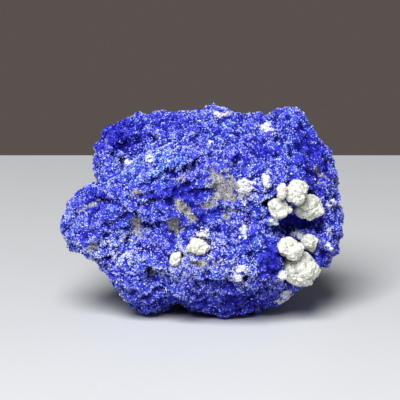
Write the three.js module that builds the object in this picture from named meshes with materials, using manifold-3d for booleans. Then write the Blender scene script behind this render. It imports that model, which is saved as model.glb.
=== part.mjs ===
// Azurite specimen: a hand-sized lump of granular azurite with knobs of pale clay grown into it.
//
// Millimetres, +X to the right, +Y towards the back, +Z up. The origin is on the resting plane, under
// the middle of the specimen's box. The azurite mass is one solid: rounded lobes that run into one
// another, with hollows worked into them and the lowest lobes worn flat where they rest. Each clay
// knob is a separate solid that sits in its own socket in the mass.

import * as THREE from "three";
import { ImprovedNoise } from "three/addons/math/ImprovedNoise.js";
import { mergeVertices } from "three/addons/utils/BufferGeometryUtils.js";
import Module from "manifold-3d";

// ---- Driving dimensions ----

const HEART = new THREE.Vector3(0, 0, 19); // the point inside the lump that its surface is cast out from
const REACH = 42; // no part of the surface lies further than this from the heart
const MASS_DETAIL = 16; // subdivisions of the icosahedron under the azurite mass
const KNOB_DETAIL = 3; // the same for a clay knob
const SMALL_DETAIL = 2; // the same for a small knob, and for the socket around any knob
const SMALL_KNOB = 1.9; // a knob with no radius over this is small
const MARCH = 0.4; // step of the walk in towards the surface
const HALVINGS = 14; // how often the last step is halved to find the surface in it

const LOBE_BLEND = 1.3; // how softly lobes run into one another
const HOLLOW_BLEND = 0.5; // how softly a hollow's rim rounds over
const WORN_FLAT = 0.05; // vertices this close to the resting plane are set on it

const BILLOW_SIZE = 5.2; // width of the small swellings over the whole surface
const BILLOW_HEIGHT = 1.1; // how far they stand out of the creases between them
const BILLOW_SUNK = 0.5; // share of that height by which the creases lie under the plain lobes

const SOCKET_GAP = 0.35; // clearance between a knob and its socket
const SOCKET_EASE = 1.02; // how much wider a socket's ellipsoid is, because its flat facets cut corners
const KNOB_SUNK = 0.15; // share of a knob's depth by which its middle lies under the surface
const KNOB_LUMP = 0.16; // share of a knob's radius by which its lumps rise and fall
const KNOB_LUMP_COUNT = 1.9; // about how many lumps there are along a knob's radius
const KNOB_LUMP_SLOPE = 2.2; // how steeply a lump rises out of the creases round it

// ---- The azurite mass ----

// Each lobe is an ellipsoid: its middle, its radii along X, Y and Z, and how far it leans up to the
// right in the XZ plane, in degrees.
const LOBES = {
  core: { at: [0, 2, 19.5], radii: [21, 16, 16.5] },
  leftNose: { at: [-19.8, -4, 18.8], radii: [8.1, 9, 7.2] },
  leftShoulder: { at: [-15, 3, 31.2], radii: [6.9, 8, 6.4] },
  topRidge: { at: [-4, 4, 33.6], radii: [12.5, 9, 5.8] },
  crownKnob: { at: [1.6, 4, 34.8], radii: [6.5, 6, 4.4] },
  topRight: { at: [10.5, 3, 33.2], radii: [10, 9, 5.6] },
  topRightKnob: { at: [16.9, 3.5, 36.1], radii: [4.4, 5, 4.7] },
  rightFlank: { at: [17.6, 3, 27.2], radii: [9.2, 11, 8.8] },
  rightLobe: { at: [20.8, 0, 18.4], radii: [7.3, 8.5, 8] },
  rightTip: { at: [22.4, -1, 13.6], radii: [3.5, 5, 3.2] },
  diagonalRidge: { at: [-8.5, -8, 28.2], radii: [16, 8, 4.8], lean: 20 },
  secondFold: { at: [-1, -12, 25.8], radii: [11, 5.5, 3.2], lean: 20 },
  rightBrow: { at: [12, -8, 27.5], radii: [9, 7.5, 5.5], lean: -12 },
  belly: { at: [3, -8.5, 14.2], radii: [15, 9, 9.2] },
  step: { at: [12.4, -10.5, 14.4], radii: [4.6, 6, 4.2] },
  knobSeat: { at: [17, -5, 10.5], radii: [4.6, 4.4, 4.4] },
  lowerLeft: { at: [-11.7, -4.5, 11.4], radii: [7.2, 8.6, 7.8] },
  leftFoot: { at: [-10.4, -1, 5], radii: [4.8, 6, 5.6] },
  keel: { at: [6, -1.5, 7.5], radii: [12.5, 8.6, 8.2] },
  backBulge: { at: [5, 10, 20], radii: [18, 11, 15] },
  backLeft: { at: [-11, 9, 18], radii: [10, 9, 12] },
  backKnob: { at: [-5, 14, 30], radii: [7.5, 6.5, 6] },
  backRight: { at: [15, 11, 14], radii: [8, 8, 8] },
  backFoot: { at: [1, 10, 6], radii: [12, 7, 7] },
};

// Each hollow is an ellipsoid taken out of the lobes, the same way.
const HOLLOWS = {
  cavity: { at: [19.3, -11, 19], radii: [6, 6, 2.4], lean: -4 },
  bareHollow: { at: [1, -20.2, 26.6], radii: [8.5, 6, 3.4], lean: 20 },
  shoulderCrease: { at: [-13.4, -5, 34], radii: [5, 5, 1.6], lean: 30 },
  shoulderPit: { at: [-14.6, -5, 36], radii: [3, 4.5, 1.6], lean: -25 },
  foldCrease: { at: [-2, -15.2, 32.4], radii: [7, 3.4, 1], lean: 16 },
  nosePit: { at: [-21.8, -12.6, 23.8], radii: [2.2, 3, 1.3], lean: 28 },
  leftPit: { at: [-11.7, -14.2, 20.2], radii: [1.7, 2.2, 1.8] },
  middlePit: { at: [-5.4, -16.2, 20.2], radii: [1.6, 2.4, 2] },
  lowerPit: { at: [-8.9, -14.4, 10.2], radii: [2.4, 3, 1.8] },
  keelHollow: { at: [4.6, -17, 8.4], radii: [3.8, 3.2, 1.7] },
  footNotch: { at: [-4.9, -7, 0.8], radii: [1.7, 6, 2.5] },
  backSaddle: { at: [8, 22.5, 27], radii: [8, 6, 3.6], lean: -18 },
  backPit: { at: [-9, 20.5, 15], radii: [3.6, 4, 2.8] },
  topDimple: { at: [-3, 6, 41.5], radii: [4.5, 3, 2.4] },
};

// ---- The clay knobs ----

// Each knob is placed on the front by its X and Z, and has a half width, depth and height. One that
// stands out of the front says how far. A knob that meets one named before it is cut back from it.
const KNOBS = {
  clay_knob_lower_right: { at: [19, 11.3], radii: [3.9, 3.6, 3.9], out: 1.4 },
  clay_knob_ledge_left: { at: [16.9, 15.9], radii: [2.9, 2.2, 2.2], lean: -15 },
  clay_knob_ledge_right: { at: [20.8, 16.1], radii: [1.8, 1.8, 1.9] },
  clay_knob_cluster_top: { at: [18.1, 27.2], radii: [2.4, 2.3, 2.6] },
  clay_knob_cluster_right: { at: [20.6, 23.4], radii: [3.1, 2.7, 2.8] },
  clay_knob_cluster_left: { at: [14.7, 24], radii: [2.5, 2.2, 2.3] },
  clay_knob_cluster_chip: { at: [15.1, 28], radii: [1.2, 1.2, 1.9], lean: 8 },
  clay_knob_belly: { at: [-0.7, 17.3], radii: [2.4, 1.8, 1.7] },
  clay_knob_belly_chip: { at: [-5, 14.6], radii: [1.1, 1.2, 1.8], lean: -28 },
};

const noise = new ImprovedNoise();

/** About how far a point is outside a leaning ellipsoid, in millimetres; negative inside. */
function outsideOf({ at, radii, lean = 0 }, point) {
  const angle = THREE.MathUtils.degToRad(lean);
  const dx = point.x - at[0];
  const dz = point.z - at[2];
  const along = dx * Math.cos(angle) + dz * Math.sin(angle);
  const across = dz * Math.cos(angle) - dx * Math.sin(angle);
  const dy = point.y - at[1];
  const [a, b, c] = radii;
  const level = Math.hypot(along / a, dy / b, across / c);
  const slope = Math.hypot(along / a ** 2, dy / b ** 2, across / c ** 2);
  return slope > 0 ? (level * (level - 1)) / slope : -Math.min(a, b, c);
}

/** How far the small swellings lift the surface at a point. */
function billow(point) {
  const n = noise.noise(point.x / BILLOW_SIZE, point.y / BILLOW_SIZE, point.z / BILLOW_SIZE);
  return BILLOW_HEIGHT * (2 * Math.abs(n) - BILLOW_SUNK);
}

/** About how far a point is outside the azurite mass, sockets left out. */
function outsideMass(point) {
  let lobes = 0;
  for (const lobe of Object.values(LOBES)) lobes += Math.exp(-outsideOf(lobe, point) / LOBE_BLEND);
  let cut = Math.exp((-LOBE_BLEND * Math.log(lobes) - billow(point)) / HOLLOW_BLEND);
  for (const hollow of Object.values(HOLLOWS)) cut += Math.exp(-outsideOf(hollow, point) / HOLLOW_BLEND);
  return Math.max(HOLLOW_BLEND * Math.log(cut), -point.z);
}

/** The first point of the mass met on the way from start along a direction. */
function meet(start, direction) {
  const at = (t) => start.clone().addScaledVector(direction, t);
  let far = MARCH;
  while (far < 2 * REACH && outsideMass(at(far)) > 0) far += MARCH;
  let near = far - MARCH;
  for (let i = 0; i < HALVINGS; i++) {
    const middle = (near + far) / 2;
    if (outsideMass(at(middle)) > 0) near = middle;
    else far = middle;
  }
  return at((near + far) / 2);
}

/** A closed icosphere of radius 1 whose vertices are shared. */
function icosphere(detail) {
  const ball = new THREE.IcosahedronGeometry(1, detail);
  ball.deleteAttribute("normal");
  ball.deleteAttribute("uv");
  return mergeVertices(ball, 1e-5);
}

/** Moves each vertex of a unit icosphere to where place says. */
function shaped(detail, place) {
  const ball = icosphere(detail);
  const position = ball.getAttribute("position");
  for (let i = 0; i < position.count; i++) {
    const direction = new THREE.Vector3().fromBufferAttribute(position, i).normalize();
    const p = place(direction);
    position.setXYZ(i, p.x, p.y, p.z);
  }
  return ball;
}

/** The azurite mass, cast out from its heart, before the sockets are cut. */
function massGeometry() {
  return shaped(MASS_DETAIL, (direction) => {
    const start = HEART.clone().addScaledVector(direction, REACH);
    const p = meet(start, direction.clone().negate());
    if (p.z < WORN_FLAT) p.z = 0;
    return p;
  });
}

/** Where a knob's middle is: a little under the front surface at its X and Z, or out from there. */
function knobMiddle({ at, radii, out = 0 }) {
  const front = meet(new THREE.Vector3(at[0], -REACH, at[1]), new THREE.Vector3(0, 1, 0));
  front.y += KNOB_SUNK * radii[1] - out;
  return front;
}

/** Where a knob's ellipsoid, scaled and then grown by a margin, is met in a direction from its middle. */
function onKnob({ radii, lean = 0 }, direction, size, margin) {
  const [a, b, c] = radii.map((radius) => radius * size + margin);
  const turn = new THREE.Vector3(0, -1, 0);
  const point = new THREE.Vector3(direction.x * a, direction.y * b, direction.z * c);
  return point.applyAxisAngle(turn, THREE.MathUtils.degToRad(lean));
}

/** A knob's lumpy surface, which stays inside the ellipsoid of its radii. */
function knobGeometry(knob) {
  const middle = knobMiddle(knob);
  const detail = Math.max(...knob.radii) > SMALL_KNOB ? KNOB_DETAIL : SMALL_DETAIL;
  return shaped(detail, (d) => {
    const at = d.clone().multiplyScalar(KNOB_LUMP_COUNT).add(middle);
    const rise = Math.min(1, KNOB_LUMP_SLOPE * Math.abs(noise.noise(at.x, at.y, at.z)));
    const size = 1 - KNOB_LUMP * (1 - rise);
    return onKnob(knob, d, size, 0).add(middle);
  });
}

/** The socket around a knob: its plain ellipsoid, wider by the gap. */
function socketGeometry(knob) {
  const middle = knobMiddle(knob);
  return shaped(SMALL_DETAIL, (d) => onKnob(knob, d, SOCKET_EASE, SOCKET_GAP).add(middle));
}

// ---- Solids, cut and turned back into geometry ----

const wasm = await Module();
wasm.setup();

/** A closed geometry as a manifold-3d solid. */
function solid(geometry) {
  return new wasm.Manifold(
    new wasm.Mesh({
      numProp: 3,
      vertProperties: geometry.getAttribute("position").array,
      triVerts: new Uint32Array(geometry.index.array),
    }),
  );
}

/** A manifold-3d solid as a geometry. */
function geometryOf(body) {
  const { vertProperties, triVerts } = body.getMesh();
  return new THREE.BufferGeometry()
    .setAttribute("position", new THREE.BufferAttribute(vertProperties, 3))
    .setIndex(new THREE.BufferAttribute(triVerts, 1));
}

// The mass has a socket for each knob, and each knob is cut back from the ones before it.
let mass = solid(massGeometry());
const knobs = new Map();
const sockets = [];
for (const [name, knob] of Object.entries(KNOBS)) {
  const knobSolid = sockets.reduce((body, socket) => body.subtract(socket), solid(knobGeometry(knob)));
  knobs.set(name, knobSolid);
  sockets.push(solid(socketGeometry(knob)));
}
for (const socket of sockets) mass = mass.subtract(socket);

/** A mesh with a name, a geometry and a material. */
function named(name, geometry, material) {
  geometry.computeVertexNormals();
  const mesh = new THREE.Mesh(geometry, material);
  mesh.name = name;
  return mesh;
}

const azurite = new THREE.MeshStandardMaterial({ color: 0x2a2fc4, roughness: 0.6, metalness: 0 });
const clay = new THREE.MeshStandardMaterial({ color: 0xe6e6dc, roughness: 0.9, metalness: 0 });

const specimen = new THREE.Group();
specimen.add(named("azurite_mass", geometryOf(mass), azurite));
for (const [name, knobSolid] of knobs) specimen.add(named(name, geometryOf(knobSolid), clay));

// The origin goes under the middle of the box.
const middle = new THREE.Box3().setFromObject(specimen).getCenter(new THREE.Vector3());
specimen.position.set(-middle.x, -middle.y, 0);

export default specimen;
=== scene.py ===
"""Azurite specimen: the finished look of a lump of granular azurite with knobs of pale clay.

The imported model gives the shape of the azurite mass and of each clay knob. Each shape is
copied and given its fine relief. The mass is then covered with small crystals, in tones that
follow the zones named below, and with the pale grains and crumbs of clay that lie among them.
"""

from __future__ import annotations

import functools
import logging
import math
from dataclasses import dataclass, field, replace
from enum import Enum
from typing import Sequence

import bpy
import numpy as np
from mathutils import Matrix, Vector, noise
from mathutils.bvhtree import BVHTree


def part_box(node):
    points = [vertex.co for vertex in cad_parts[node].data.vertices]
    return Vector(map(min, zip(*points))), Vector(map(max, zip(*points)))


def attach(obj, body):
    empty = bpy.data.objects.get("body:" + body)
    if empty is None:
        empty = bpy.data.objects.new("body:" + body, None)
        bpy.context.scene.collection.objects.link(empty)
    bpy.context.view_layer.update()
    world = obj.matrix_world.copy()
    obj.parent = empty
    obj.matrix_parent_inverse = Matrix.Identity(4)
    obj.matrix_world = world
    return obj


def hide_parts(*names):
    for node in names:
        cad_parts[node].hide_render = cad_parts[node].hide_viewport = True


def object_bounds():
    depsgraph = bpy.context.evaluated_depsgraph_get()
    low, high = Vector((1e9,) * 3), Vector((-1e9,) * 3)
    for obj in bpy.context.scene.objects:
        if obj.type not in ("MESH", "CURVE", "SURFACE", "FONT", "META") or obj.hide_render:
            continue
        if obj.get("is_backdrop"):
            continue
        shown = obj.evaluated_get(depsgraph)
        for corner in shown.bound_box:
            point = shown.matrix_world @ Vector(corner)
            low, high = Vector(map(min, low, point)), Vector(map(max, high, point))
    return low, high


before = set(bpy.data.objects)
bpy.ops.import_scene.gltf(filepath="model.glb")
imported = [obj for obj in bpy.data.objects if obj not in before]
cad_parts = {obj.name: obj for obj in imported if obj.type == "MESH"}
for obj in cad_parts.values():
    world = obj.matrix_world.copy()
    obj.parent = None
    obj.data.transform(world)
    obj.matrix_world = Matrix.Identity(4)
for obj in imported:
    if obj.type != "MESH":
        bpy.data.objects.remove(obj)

CAD_LOW, CAD_HIGH = (Vector(corner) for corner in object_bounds())

LOG = logging.getLogger("azurite")
MM = 0.001
BODY = "root"
MASS_NODE = "azurite_mass"
BAKE_MAP = "OFBake"
SEED = 24

ZONE_DEPTH = 1.4  # how deep a zone reaches, for its larger half-size
SHALLOWEST_ZONE = 0.06  # the least depth that one reaches, as a share of the specimen's length
ZONE_CORE, ZONE_RIM = 0.4, 1.5  # where a zone's weight starts to fall and where it ends, in half-sizes
TEARS = ((3.2 * MM, 1.5 * MM), (1.2 * MM, 0.7 * MM), (0.5 * MM, 0.25 * MM))  # each layer's size and shift

Colour = tuple[float, float, float]
Stops = Sequence[tuple[float, Colour]]  # positions and colours of a ramp
Layers = Sequence[tuple[float, float, float]]  # heights, blotch sizes in metres and seeds


# ---- Working helpers ----


def select_only(obj: bpy.types.Object) -> None:
    """Selects one object alone and makes it active.

    Args:
        obj: The object.
    """
    bpy.ops.object.select_all(action="DESELECT")
    obj.select_set(True)
    bpy.context.view_layer.objects.active = obj


def apply_modifier(obj: bpy.types.Object, kind: str, **settings: object) -> None:
    """Adds a modifier to an object and applies it.

    Args:
        obj: The mesh object.
        kind: The modifier's type, such as "SUBSURF".
        settings: The modifier's own properties.
    """
    select_only(obj)
    modifier = obj.modifiers.new(kind.lower(), kind)
    for name, value in settings.items():
        setattr(modifier, name, value)
    bpy.ops.object.modifier_apply(modifier=modifier.name)


def copy_of_node(node: str, name: str) -> bpy.types.Object:
    """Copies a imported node's mesh into a new object, with its loose triangles joined up.

    Args:
        node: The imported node.
        name: The new object's name.

    Returns:
        The copy, which sits where the node does.
    """
    copy = bpy.data.objects.new(name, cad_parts[node].data.copy())
    copy.data.materials.clear()
    bpy.context.scene.collection.objects.link(copy)
    select_only(copy)
    bpy.ops.object.mode_set(mode="EDIT")
    bpy.ops.mesh.select_all(action="SELECT")
    bpy.ops.mesh.remove_doubles(threshold=0.001 * MM)
    bpy.ops.object.mode_set(mode="OBJECT")
    return copy


def read(items: bpy.types.bpy_prop_collection, name: str, width: int) -> np.ndarray:
    """Reads one property of many mesh elements.

    Args:
        items: The elements, such as a mesh's vertices.
        name: The property.
        width: How many numbers it has.

    Returns:
        An array with a row for each element.
    """
    values = np.empty(len(items) * width, np.float32)
    items.foreach_get(name, values)
    return values.reshape(-1, width).astype(float)


def smooth_step(values: np.ndarray, low: float, high: float) -> np.ndarray:
    """Rises smoothly from 0 at low to 1 at high."""
    t = np.clip((values - low) / (high - low), 0.0, 1.0)
    return t * t * (3.0 - 2.0 * t)


def mottle(points: np.ndarray, size: float, seed: float) -> np.ndarray:
    """Smooth noise from about -1 to 1 at each point, with blotches of a given size in metres."""
    offset = Vector((seed, 2.0 * seed, -seed))
    return np.array([noise.noise(Vector(p) / size + offset) for p in points])


def blotches(points: np.ndarray, layers: Layers) -> np.ndarray:
    """The sum of some layers of mottling at each point."""
    return sum(height * mottle(points, size, seed) for height, size, seed in layers)


@functools.cache
def surface_of(node: str) -> BVHTree:
    """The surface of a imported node, for finding places on it."""
    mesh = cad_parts[node].data
    return BVHTree.FromPolygons([v.co for v in mesh.vertices], [f.vertices for f in mesh.polygons])


# ---- Places on the specimen ----


@dataclass(frozen=True)
class Zone:
    """A leaning oval on the front, placed by shares of the specimen's box.

    It reaches a little into the depth from the front of the skin at its middle.

    Attributes:
        across: Its middle, from 0 at the left end to 1 at the right end.
        up: Its middle, from 0 at the base to 1 at the top.
        width: Half its width, as a share of the specimen's length.
        height: Half its height, as a share of the specimen's length.
        lean: How far it leans up to the right, in degrees.
        strength: Its weight in its middle.
    """

    across: float
    up: float
    width: float
    height: float
    lean: float = 0.0
    strength: float = 1.0

    def middle(self) -> Vector:
        """Finds the zone's middle.

        Returns:
            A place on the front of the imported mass, or at the depth of the nearest part of it.
        """
        x = CAD_LOW.x + self.across * (CAD_HIGH.x - CAD_LOW.x)
        z = CAD_LOW.z + self.up * (CAD_HIGH.z - CAD_LOW.z)
        mass = surface_of(MASS_NODE)
        place = mass.ray_cast(Vector((x, CAD_LOW.y - MM, z)), Vector((0, 1, 0)))[0]
        if place is None:
            place = mass.find_nearest(Vector((x, 0, z)))[0]
        return Vector((x, place.y, z))

    def weights(self, points: np.ndarray) -> np.ndarray:
        """Weighs points by how far inside the zone they lie.

        Args:
            points: The points.

        Returns:
            A weight for each: the zone's strength in its middle, 0 outside it.
        """
        length = CAD_HIGH.x - CAD_LOW.x
        dx, dy, dz = (points - np.array(self.middle())).T
        cosine, sine = math.cos(math.radians(self.lean)), math.sin(math.radians(self.lean))
        along = (dx * cosine + dz * sine) / (self.width * length)
        over = (dz * cosine - dx * sine) / (self.height * length)
        deep = dy / (max(ZONE_DEPTH * max(self.width, self.height), SHALLOWEST_ZONE) * length)
        away = np.sqrt(along**2 + over**2 + deep**2)
        return self.strength * (1.0 - smooth_step(away, ZONE_CORE, ZONE_RIM))


def strongest(zones: Sequence[Zone], points: np.ndarray) -> np.ndarray:
    """The largest weight of any zone at each point."""
    return np.max([zone.weights(points) for zone in zones], axis=0)


def ragged(points: np.ndarray) -> np.ndarray:
    """Shifts points about at random, so that a zone looked up at them has a torn edge.

    Args:
        points: The points.

    Returns:
        The shifted points.
    """
    torn = points.copy()
    for size, shift in TEARS:
        torn += [noise.noise_vector(Vector(p) / size) * shift for p in points]
    return torn


BARE_ZONES = (
    Zone(0.57, 0.69, 0.060, 0.046, lean=-12, strength=1.2),
    Zone(0.44, 0.59, 0.050, 0.016, lean=-35),
    Zone(0.53, 0.63, 0.055, 0.018, lean=35),
    Zone(0.40, 0.50, 0.026, 0.034),
    Zone(0.28, 0.50, 0.028, 0.036),
    Zone(0.10, 0.57, 0.040, 0.016, lean=20),
    Zone(0.27, 0.66, 0.022, 0.013),
    Zone(0.12, 0.39, 0.018, 0.020),
    Zone(0.34, 0.25, 0.016, 0.012),
    Zone(0.48, 0.34, 0.026, 0.012),
    Zone(0.41, 0.08, 0.026, 0.018),
    Zone(0.59, 0.56, 0.024, 0.026, strength=0.7),
    Zone(0.90, 0.70, 0.026, 0.020, strength=0.7),
    Zone(0.43, 0.73, 0.040, 0.012, lean=20, strength=0.6),
)

FROST_ZONES = (
    Zone(0.35, 0.82, 0.075, 0.040, lean=20, strength=0.70),
    Zone(0.20, 0.37, 0.130, 0.065, strength=0.95),
    Zone(0.27, 0.48, 0.050, 0.050, strength=0.50),
    Zone(0.45, 0.38, 0.060, 0.050, strength=0.85),
    Zone(0.37, 0.29, 0.060, 0.040, strength=0.75),
    Zone(0.55, 0.37, 0.080, 0.055, strength=0.75),
    Zone(0.52, 0.47, 0.060, 0.045, strength=0.70),
    Zone(0.55, 0.43, 0.040, 0.025, strength=0.90),
    Zone(0.64, 0.29, 0.080, 0.050, strength=0.95),
    Zone(0.67, 0.68, 0.050, 0.050, strength=0.70),
    Zone(0.60, 0.56, 0.050, 0.040, strength=0.55),
    Zone(0.70, 0.77, 0.070, 0.030, strength=0.40),
)

# Darker zones: in part deeper-blue azurite, in part painted shade, as along the base, on the right flank
# and in the cavity under the clay.
DARK_AND_SHADED_ZONES = (
    Zone(0.17, 0.89, 0.110, 0.060),
    Zone(0.36, 0.95, 0.080, 0.030, strength=0.5),
    Zone(0.88, 0.78, 0.080, 0.130, strength=0.8),
    Zone(0.73, 0.34, 0.045, 0.075),
    Zone(0.83, 0.49, 0.070, 0.025, strength=1.6),
    Zone(0.60, 0.05, 0.300, 0.075, strength=0.65),
    Zone(0.30, 0.05, 0.120, 0.060, strength=0.4),
    Zone(0.62, 0.12, 0.080, 0.050),
    Zone(0.47, 0.57, 0.060, 0.035, strength=0.8),
    Zone(0.72, 0.82, 0.060, 0.035, strength=0.5),
    Zone(0.12, 0.62, 0.060, 0.040, strength=0.7),
    Zone(0.42, 0.65, 0.080, 0.050, strength=0.9),
    Zone(0.41, 0.52, 0.060, 0.040, strength=0.6),
    Zone(0.92, 0.30, 0.050, 0.060, strength=0.5),
)

LIGHT_ZONES = (
    Zone(0.32, 0.77, 0.140, 0.045, lean=20),
    Zone(0.80, 0.82, 0.050, 0.050, strength=0.8),
    Zone(0.94, 0.50, 0.035, 0.080, strength=0.2),
    Zone(0.04, 0.50, 0.030, 0.060, strength=0.4),
    Zone(0.68, 0.58, 0.045, 0.035, strength=0.7),
    Zone(0.68, 0.36, 0.050, 0.030, strength=0.6),
)

CHALK_ZONES = (
    Zone(0.65, 0.70, 0.023, 0.040, lean=-10),
    Zone(0.71, 0.72, 0.014, 0.032, lean=10),
    Zone(0.64, 0.62, 0.013, 0.014),
    Zone(0.63, 0.49, 0.014, 0.022),
    Zone(0.74, 0.51, 0.012, 0.020),
    Zone(0.72, 0.92, 0.024, 0.010),
    Zone(0.56, 0.97, 0.030, 0.012),
    Zone(0.63, 0.32, 0.030, 0.014),
    Zone(0.95, 0.57, 0.009, 0.011),
    Zone(0.93, 0.43, 0.011, 0.012),
    Zone(0.94, 0.36, 0.009, 0.014),
    Zone(0.79, 0.13, 0.018, 0.022),
    Zone(0.77, 0.08, 0.020, 0.012),
    Zone(0.52, 0.88, 0.010, 0.016),
    Zone(0.24, 0.77, 0.015, 0.009),
    Zone(0.31, 0.80, 0.010, 0.009),
    Zone(0.61, 0.27, 0.014, 0.011),
    Zone(0.82, 0.42, 0.024, 0.013),
    Zone(0.78, 0.26, 0.018, 0.028),
    Zone(0.49, 0.48, 0.014, 0.010),
    Zone(0.715, 0.61, 0.014, 0.016),
)

PINK_ZONES = (
    Zone(0.56, 0.98, 0.05, 0.04),
    Zone(0.52, 0.88, 0.02, 0.03),
)

CREASES = (
    Zone(0.43, 0.78, 0.065, 0.011, lean=25),
    Zone(0.50, 0.79, 0.055, 0.009, lean=12, strength=0.8),
    Zone(0.24, 0.84, 0.060, 0.024, lean=-25),
    Zone(0.20, 0.79, 0.040, 0.018, lean=-40, strength=0.8),
    Zone(0.12, 0.62, 0.035, 0.014, lean=20, strength=0.8),
    Zone(0.41, 0.64, 0.075, 0.014, lean=15, strength=0.7),
    Zone(0.70, 0.77, 0.085, 0.009, lean=20, strength=0.5),
    Zone(0.56, 0.22, 0.060, 0.013, lean=-8, strength=0.6),
    Zone(0.64, 0.52, 0.032, 0.010, lean=60, strength=0.6),
    Zone(0.35, 0.86, 0.014, 0.012, strength=0.8),
    Zone(0.33, 0.24, 0.018, 0.013),
    Zone(0.36, 0.74, 0.080, 0.010, lean=22, strength=0.8),
    Zone(0.14, 0.80, 0.016, 0.050, lean=-15, strength=0.7),
)


@dataclass(frozen=True)
class Patches:
    """Patches with torn edges.

    Attributes:
        zones: Where they lie.
        tears: The layers that tear their edges.
        edge: Where a patch starts and where it is whole, in the sum of zones and tears.
    """

    zones: tuple[Zone, ...]
    tears: Layers
    edge: tuple[float, float]

    def cover(self, points: np.ndarray) -> np.ndarray:
        """How far each point lies in a patch, from 0 to 1."""
        spread = strongest(self.zones, ragged(points)) + blotches(points, self.tears)
        return smooth_step(spread, *self.edge)


BARE = Patches(BARE_ZONES, tears=((0.45, 1.3 * MM, 3.0), (0.50, 0.45 * MM, 4.0)), edge=(0.42, 0.55))
CHALK = Patches(CHALK_ZONES, tears=((0.25, 0.9 * MM, 8.0), (0.35, 0.4 * MM, 8.5)), edge=(0.42, 0.58))

BARE_HOLLOW = (0.25, 0.60)  # the zone weights between which the rock sinks into a bare hollow
THIN_SPOTS = ((1.0, 6.0 * MM, 11.0),)  # the layers of the thin spots behind
THIN_EDGE = (0.42, 0.60)  # where a thin spot starts, and where it is bare
BACK = (0.0, 6.0 * MM)  # how far back the thin spots start, and how far back they are at full strength


# ---- Finishes ----


class MaterialMaker:
    """Builds one node material step by step."""

    def __init__(self, name: str) -> None:
        """Starts a material with its Principled shader.

        Args:
            name: The material's name.
        """
        self.material = bpy.data.materials.new(name)
        self.material.use_nodes = True
        self.tree = self.material.node_tree
        self.shader = self.tree.nodes["Principled BSDF"]

    def node(self, kind: str, **settings: object) -> bpy.types.Node:
        """Adds a shader node.

        Args:
            kind: The node's type, without its prefix.
            settings: The node's own properties.

        Returns:
            The node.
        """
        made = self.tree.nodes.new("ShaderNode" + kind)
        for name, value in settings.items():
            setattr(made, name, value)
        return made

    def join(self, source: bpy.types.NodeSocket, target: bpy.types.NodeSocket) -> None:
        """Links two sockets."""
        self.tree.links.new(source, target)

    def ramp(self, factor: bpy.types.NodeSocket, stops: Stops) -> bpy.types.NodeSocket:
        """Maps a factor to colours.

        Args:
            factor: The socket that drives the ramp.
            stops: The positions and their colours.

        Returns:
            The ramp's colour socket.
        """
        ramp = self.node("ValToRGB")
        elements = ramp.color_ramp.elements
        while len(elements) < len(stops):
            elements.new(0.5)
        for element, (position, colour) in zip(elements, stops):
            element.position = position
            element.color = (*colour, 1.0)
        self.join(factor, ramp.inputs["Fac"])
        return ramp.outputs["Color"]

    def noise(self, scale: float, detail: float = 3.0, rough: float = 0.6) -> bpy.types.NodeSocket:
        """Adds noise on the piece's own coordinates.

        Args:
            scale: How many blotches there are to a metre.
            detail: How many finer layers there are.
            rough: How strong the finer layers are.

        Returns:
            The noise's socket.
        """
        place = self.node("TexCoord")
        texture = self.node("TexNoise")
        texture.inputs["Scale"].default_value = scale
        texture.inputs["Detail"].default_value = detail
        texture.inputs["Roughness"].default_value = rough
        self.join(place.outputs["Object"], texture.inputs["Vector"])
        return texture.outputs["Fac"]

    def attribute(self, name: str) -> bpy.types.NodeSocket:
        """A number that the mesh holds at each vertex."""
        return self.node("Attribute", attribute_name=name).outputs["Fac"]

    def mix(
        self,
        factor: bpy.types.NodeSocket,
        first: bpy.types.NodeSocket,
        second: bpy.types.NodeSocket,
    ) -> bpy.types.NodeSocket:
        """Mixes two colours.

        Args:
            factor: The share of the second.
            first: The first colour.
            second: The second colour.

        Returns:
            The mixed colour's socket.
        """
        mix = self.node("Mix", data_type="RGBA")
        self.join(factor, mix.inputs["Factor"])
        self.join(first, mix.inputs["A"])
        self.join(second, mix.inputs["B"])
        return mix.outputs["Result"]

    def bump(self, height: bpy.types.NodeSocket, distance: float, strength: float = 0.7) -> None:
        """Gives the shader a bump.

        Args:
            height: What the bump follows.
            distance: How high it is, in metres.
            strength: How strongly it shows.
        """
        bump = self.node("Bump")
        bump.inputs["Distance"].default_value = distance
        bump.inputs["Strength"].default_value = strength
        self.join(height, bump.inputs["Height"])
        self.join(bump.outputs["Normal"], self.shader.inputs["Normal"])


class GrainTone(Enum):
    """The colour runs of the grains: a plainer run and a tinted one, each from dark to pale."""

    AZURITE = (
        (
            (0.0, (0.001, 0.002, 0.150)),
            (0.3, (0.014, 0.012, 0.350)),
            (0.5, (0.048, 0.050, 0.560)),
            (0.7, (0.150, 0.165, 0.760)),
            (1.0, (0.500, 0.560, 0.930)),
        ),
        (
            (0.0, (0.001, 0.004, 0.160)),
            (0.3, (0.012, 0.036, 0.410)),
            (0.5, (0.036, 0.110, 0.580)),
            (0.7, (0.110, 0.260, 0.770)),
            (1.0, (0.430, 0.620, 0.930)),
        ),
    )
    PALE = (
        (
            (0.0, (0.160, 0.180, 0.600)),
            (0.4, (0.440, 0.470, 0.760)),
            (0.7, (0.620, 0.650, 0.720)),
            (1.0, (0.740, 0.770, 0.780)),
        ),
        (
            (0.0, (0.220, 0.180, 0.420)),
            (0.4, (0.540, 0.430, 0.460)),
            (0.7, (0.740, 0.640, 0.600)),
            (1.0, (0.840, 0.780, 0.740)),
        ),
    )
    SANDY = (
        (
            (0.0, (0.030, 0.030, 0.080)),
            (0.4, (0.200, 0.195, 0.210)),
            (0.7, (0.400, 0.390, 0.390)),
            (1.0, (0.680, 0.670, 0.650)),
        ),
        (
            (0.0, (0.025, 0.026, 0.050)),
            (0.4, (0.170, 0.165, 0.150)),
            (0.7, (0.320, 0.310, 0.280)),
            (1.0, (0.560, 0.540, 0.500)),
        ),
    )


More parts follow.
